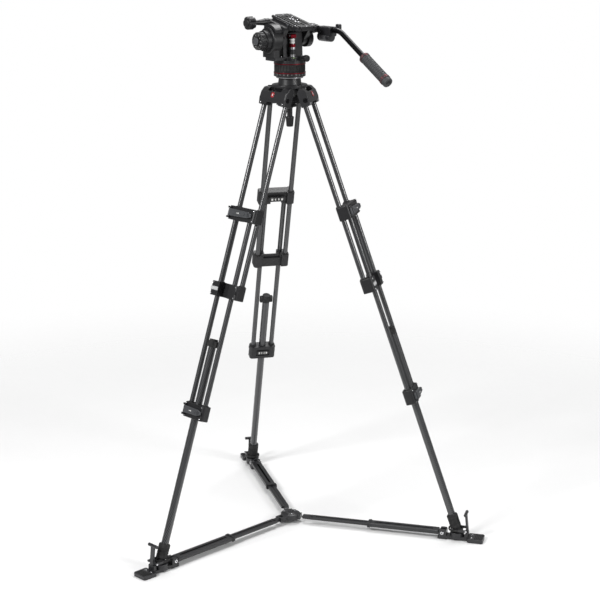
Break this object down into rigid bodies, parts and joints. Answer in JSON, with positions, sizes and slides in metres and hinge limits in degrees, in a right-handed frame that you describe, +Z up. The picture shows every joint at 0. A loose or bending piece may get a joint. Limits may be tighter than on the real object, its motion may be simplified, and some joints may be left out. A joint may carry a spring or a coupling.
{
  "type": "tripod with fluid head",
  "caption": "Camera tripod with twin-tube carbon legs, lever locks, a telescoping ground spreader and a fluid pan and tilt head with a sliding plate and pan bar.",
  "frame": {"origin": "on the floor, in the middle of the box round the whole part", "axes": "+Z up; the leg hinge circle and the pan axis are vertical"},
  "size_m": [1.1787, 1.1711, 1.7706],
  "materials": {
    "black_metal": "black powder coat",
    "carbon": "woven carbon fibre, satin lacquer",
    "black_plastic": "fine grain",
    "grey_plastic": "fine grain",
    "red_metal": "anodised red",
    "bare_metal": "satin",
    "steel": "polished",
    "rubber": "matt, ribbed"
  },
  "bodies": {
    "crown": {"crown": "black_metal", "hip_pins": "steel"},
    "ball": {"half_ball": "black_metal", "base_ring": "red_metal"},
    "clamp": {"bowl_clamp": "black_plastic"},
    "drag_ring": {"pan_drag_ring": "rubber"},
    "pan_base": {"pan_body": "black_metal", "top_ring": "red_metal", "balance_housing": "black_plastic", "piston_barrel": "bare_metal", "piston_clevis": "red_metal"},
    "balance_dial": {"balance_knob": "black_plastic"},
    "pan_lock": {"pan_lock_knob": "black_plastic"},
    "saddle": {"tilt_body": "black_metal"},
    "plate": {"camera_plate": "black_metal", "camera_screws": "steel"},
    "plate_knob": {"plate_lock_knob": "black_plastic"},
    "pan_handle": {"bar_bracket": "black_metal", "pan_bar": "black_metal", "grip": "rubber"},
    "hub": {"spreader_hub": "black_metal"},
    "leg_a_upper": {"leg_a_shoulder": "black_metal", "leg_a_upper_tubes": "carbon", "leg_a_collar": "black_plastic"},
    "leg_a_middle": {"leg_a_middle_lock": "black_plastic", "leg_a_middle_tubes": "carbon", "leg_a_lower_lock": "black_plastic"},
    "leg_a_middle_lever_body": {"leg_a_middle_lever": "grey_plastic"},
    "leg_a_lower_lever_body": {"leg_a_lower_lever": "grey_plastic"},
    "leg_a_lower": {"leg_a_lower_tube": "carbon", "leg_a_boot_and_guide": "rubber"},
    "leg_a_foot": {"leg_a_foot_plate": "black_metal"},
    "arm_a_outer": {"arm_a_sleeve": "black_metal"},
    "arm_a_inner": {"arm_a_rod": "black_metal"},
    "leg_b_upper": {"leg_b_shoulder": "black_metal", "leg_b_upper_tubes": "carbon", "leg_b_collar": "black_plastic"},
    "leg_b_middle": {"leg_b_middle_lock": "black_plastic", "leg_b_middle_tubes": "carbon", "leg_b_lower_lock": "black_plastic"},
    "leg_b_middle_lever_body": {"leg_b_middle_lever": "grey_plastic"},
    "leg_b_lower_lever_body": {"leg_b_lower_lever": "grey_plastic"},
    "leg_b_lower": {"leg_b_lower_tube": "carbon", "leg_b_boot_and_guide": "rubber"},
    "leg_b_foot": {"leg_b_foot_plate": "black_metal"},
    "arm_b_outer": {"arm_b_sleeve": "black_metal"},
    "arm_b_inner": {"arm_b_rod": "black_metal"},
    "leg_c_upper": {"leg_c_shoulder": "black_metal", "leg_c_upper_tubes": "carbon", "leg_c_collar": "black_plastic"},
    "leg_c_middle": {"leg_c_middle_lock": "black_plastic", "leg_c_middle_tubes": "carbon", "leg_c_lower_lock": "black_plastic"},
    "leg_c_middle_lever_body": {"leg_c_middle_lever": "grey_plastic"},
    "leg_c_lower_lever_body": {"leg_c_lower_lever": "grey_plastic"},
    "leg_c_lower": {"leg_c_lower_tube": "carbon", "leg_c_boot_and_guide": "rubber"},
    "leg_c_foot": {"leg_c_foot_plate": "black_metal"},
    "arm_c_outer": {"arm_c_sleeve": "black_metal"},
    "arm_c_inner": {"arm_c_rod": "black_metal"}
  },
  "joints": [
    {"name": "bowl_level", "type": "hinge", "parent": "crown", "child": "ball", "pos_m": [-0.07943, -0.08702, 1.545], "axis": [0.7848, 0.6198, 0], "range_deg": [-7, 7]},
    {"name": "clamp_turn", "type": "hinge", "parent": "ball", "child": "clamp", "pos_m": [-0.07943, -0.08702, 1.445], "axis": [0, 0, 1], "continuous": true},
    {"name": "drag_ring_turn", "type": "hinge", "parent": "ball", "child": "drag_ring", "pos_m": [-0.07943, -0.08702, 1.595], "axis": [0, 0, 1], "range_deg": [0, 270]},
    {"name": "pan", "type": "hinge", "parent": "ball", "child": "pan_base", "pos_m": [-0.07943, -0.08702, 1.63], "axis": [0, 0, 1], "continuous": true},
    {"name": "balance_dial_turn", "type": "hinge", "parent": "pan_base", "child": "balance_dial", "pos_m": [-0.15791, -0.14899, 1.692], "axis": [-0.7848, -0.6198, 0], "range_deg": [0, 300]},
    {"name": "pan_lock_turn", "type": "hinge", "parent": "pan_base", "child": "pan_lock", "pos_m": [-0.02597, -0.1289, 1.633], "axis": [0.6198, -0.7848, 0], "range_deg": [0, 180]},
    {"name": "tilt", "type": "hinge", "parent": "pan_base", "child": "saddle", "pos_m": [-0.07943, -0.08702, 1.692], "axis": [0.7848, 0.6198, 0], "range_deg": [-80, 47]},
    {"name": "plate_slide", "type": "slide", "parent": "saddle", "child": "plate", "axis": [-0.6032, 0.7637, 0.23], "range_m": [-0.04, 0.04]},
    {"name": "plate_knob_turn", "type": "hinge", "parent": "saddle", "child": "plate_knob", "pos_m": [-0.17794, -0.11878, 1.74781], "axis": [-0.7848, -0.6198, 0], "range_deg": [0, 180]},
    {"name": "pan_handle_angle", "type": "hinge", "parent": "saddle", "child": "pan_handle", "pos_m": [-0.00346, -0.07672, 1.726], "axis": [-0.7848, -0.6198, 0], "range_deg": [-20, 45]},
    {"name": "leg_a_spread", "type": "hinge", "parent": "crown", "child": "leg_a_upper", "pos_m": [-0.12953, -0.13591, 1.5], "axis": [-0.6984, 0.7157, 0], "range_deg": [-7.5, 0]},
    {"name": "leg_a_middle_slide", "type": "slide", "parent": "leg_a_upper", "child": "leg_a_middle", "axis": [-0.2369, -0.2312, -0.9436], "range_m": [-0.33, 0.195]},
    {"name": "leg_a_lower_slide", "type": "slide", "parent": "leg_a_middle", "child": "leg_a_lower", "axis": [-0.2369, -0.2312, -0.9436], "range_m": [-0.39, 0.18]},
    {"name": "leg_a_middle_lever_turn", "type": "hinge", "parent": "leg_a_middle", "child": "leg_a_middle_lever_body", "pos_m": [-0.27878, -0.2061, 1.14031], "axis": [-0.2369, -0.2312, -0.9436], "range_deg": [0, 100]},
    {"name": "leg_a_lower_lever_turn", "type": "hinge", "parent": "leg_a_middle", "child": "leg_a_lower_lever_body", "pos_m": [-0.42737, -0.37346, 0.51601], "axis": [-0.2369, -0.2312, -0.9436], "range_deg": [0, 100]},
    {"name": "leg_a_foot_tilt", "type": "hinge", "parent": "leg_a_lower", "child": "leg_a_foot", "pos_m": [-0.50616, -0.50345, 0.03], "axis": [-0.6984, 0.7157, 0], "range_deg": [-0.1, 7.6]},
    {"name": "arm_a_fold", "type": "hinge", "parent": "leg_a_foot", "child": "arm_a_outer", "pos_m": [-0.47037, -0.46853, 0.022], "axis": [-0.6984, 0.7157, 0], "range_deg": [-66, 0]},
    {"name": "arm_a_slide", "type": "slide", "parent": "arm_a_outer", "child": "arm_a_inner", "axis": [0.7157, 0.6984, 0], "range_m": [-0.1974, 0.001]},
    {"name": "leg_b_spread", "type": "hinge", "parent": "crown", "child": "leg_b_upper", "pos_m": [-0.01204, -0.10596, 1.5], "axis": [-0.2706, -0.9627, 0], "range_deg": [-7.6, 0.1]},
    {"name": "leg_b_middle_slide", "type": "slide", "parent": "leg_b_upper", "child": "leg_b_middle", "axis": [0.3187, -0.0896, -0.9436], "range_m": [-0.33, 0.195]},
    {"name": "leg_b_lower_slide", "type": "slide", "parent": "leg_b_middle", "child": "leg_b_lower", "axis": [0.3187, -0.0896, -0.9436], "range_m": [-0.39, 0.18]},
    {"name": "leg_b_middle_lever_turn", "type": "hinge", "parent": "leg_b_middle", "child": "leg_b_middle_lever_body", "pos_m": [0.12338, -0.20012, 1.14031], "axis": [0.3187, -0.0896, -0.9436], "range_deg": [0, 100]},
    {"name": "leg_b_lower_lever_turn", "type": "hinge", "parent": "leg_b_middle", "child": "leg_b_lower_lever_body", "pos_m": [0.34261, -0.24512, 0.51601], "axis": [0.3187, -0.0896, -0.9436], "range_deg": [0, 100]},
    {"name": "leg_b_foot_tilt", "type": "hinge", "parent": "leg_b_lower", "child": "leg_b_foot", "pos_m": [0.49457, -0.24836, 0.03], "axis": [-0.2706, -0.9627, 0], "range_deg": [-0.1, 7.6]},
    {"name": "arm_b_fold", "type": "hinge", "parent": "leg_b_foot", "child": "arm_b_outer", "pos_m": [0.44644, -0.23483, 0.022], "axis": [-0.2706, -0.9627, 0], "range_deg": [-66.1, 0.1]},
    {"name": "arm_b_slide", "type": "slide", "parent": "arm_b_outer", "child": "arm_b_inner", "axis": [-0.9627, 0.2706, 0], "range_m": [-0.1974, 0.001]},
    {"name": "leg_c_spread", "type": "hinge", "parent": "crown", "child": "leg_c_upper", "pos_m": [-0.09672, -0.01919, 1.5], "axis": [0.969, 0.247, 0], "range_deg": [-7.6, 0.1]},
    {"name": "leg_c_middle_slide", "type": "slide", "parent": "leg_c_upper", "child": "leg_c_middle", "axis": [-0.0818, 0.3208, -0.9436], "range_m": [-0.33, 0.195]},
    {"name": "leg_c_lower_slide", "type": "slide", "parent": "leg_c_middle", "child": "leg_c_lower", "axis": [-0.0818, 0.3208, -0.9436], "range_m": [-0.39, 0.18]},
    {"name": "leg_c_middle_lever_turn", "type": "hinge", "parent": "leg_c_middle", "child": "leg_c_middle_lever_body", "pos_m": [-0.08289, 0.14517, 1.14031], "axis": [-0.0818, 0.3208, -0.9436], "range_deg": [0, 100]},
    {"name": "leg_c_lower_lever_turn", "type": "hinge", "parent": "leg_c_middle", "child": "leg_c_lower_lever_body", "pos_m": [-0.15353, 0.35753, 0.51601], "axis": [-0.0818, 0.3208, -0.9436], "range_deg": [0, 100]},
    {"name": "leg_c_foot_tilt", "type": "hinge", "parent": "leg_c_lower", "child": "leg_c_foot", "pos_m": [-0.2267, 0.49076, 0.03], "axis": [0.969, 0.247, 0], "range_deg": [-0.1, 7.6]},
    {"name": "arm_c_fold", "type": "hinge", "parent": "leg_c_foot", "child": "arm_c_outer", "pos_m": [-0.21435, 0.44231, 0.022], "axis": [0.969, 0.247, 0], "range_deg": [-66.1, 0.1]},
    {"name": "arm_c_slide", "type": "slide", "parent": "arm_c_outer", "child": "arm_c_inner", "axis": [0.247, -0.969, 0], "range_m": [-0.1974, 0.001]},
    {"name": "hub_level", "type": "hinge", "parent": "arm_a_inner", "child": "hub", "pos_m": [-0.11664, -0.12334, 0.022], "axis": [-0.6984, 0.7157, 0], "range_deg": [-0.1, 66.1]}
  ],
  "couplings": [
    {"joint": "leg_a_foot_tilt", "follows": "leg_a_spread", "ratio": -1},
    {"joint": "arm_a_slide", "follows": "leg_a_spread", "m_per_rad": 1.5002},
    {"joint": "leg_b_spread", "follows": "leg_a_spread", "ratio": 1},
    {"joint": "arm_b_fold", "follows": "arm_a_fold", "ratio": 1},
    {"joint": "leg_b_foot_tilt", "follows": "leg_a_spread", "ratio": -1},
    {"joint": "arm_b_slide", "follows": "leg_a_spread", "m_per_rad": 1.5002},
    {"joint": "leg_c_spread", "follows": "leg_a_spread", "ratio": 1},
    {"joint": "arm_c_fold", "follows": "arm_a_fold", "ratio": 1},
    {"joint": "leg_c_foot_tilt", "follows": "leg_a_spread", "ratio": -1},
    {"joint": "arm_c_slide", "follows": "leg_a_spread", "m_per_rad": 1.5002},
    {"joint": "hub_level", "follows": "arm_a_fold", "ratio": -1}
  ]
}
